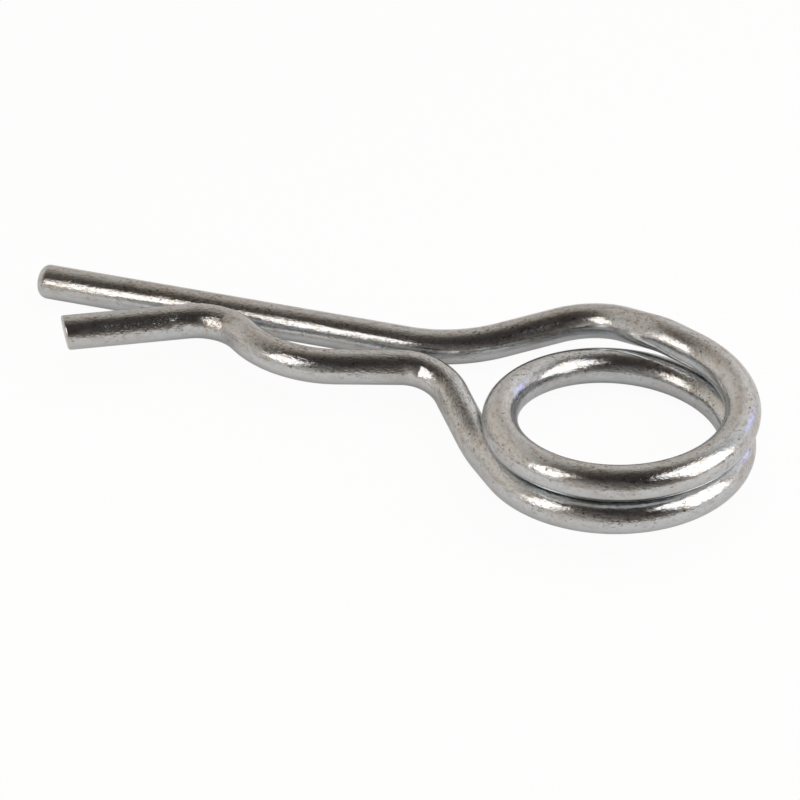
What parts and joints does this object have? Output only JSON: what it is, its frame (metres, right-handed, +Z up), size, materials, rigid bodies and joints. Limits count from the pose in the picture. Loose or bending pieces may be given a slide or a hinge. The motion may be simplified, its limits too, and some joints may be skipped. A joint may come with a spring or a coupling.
{
  "type": "hitch clip pin",
  "caption": "Wire hitch clip: a round coil to pull on, one straight leg for a cross-drilled hole and one wavy leg that grips the shaft.",
  "frame": {"origin": "on the coil's axis, halfway up the coil", "axes": "X along the straight leg, whose point faces -X; Y across the legs, the wavy leg on the -Y side of the straight one; Z up, with the clip leaning 10.2 degrees about X as it rests on a flat surface"},
  "size_m": [0.0873, 0.0351, 0.0109],
  "materials": {
    "wire": "bright zinc-plated spring steel, drawn wire with small tool marks and dark specks"
  },
  "bodies": {
    "root": {"clip_wire": "wire"}
  },
  "joints": []
}
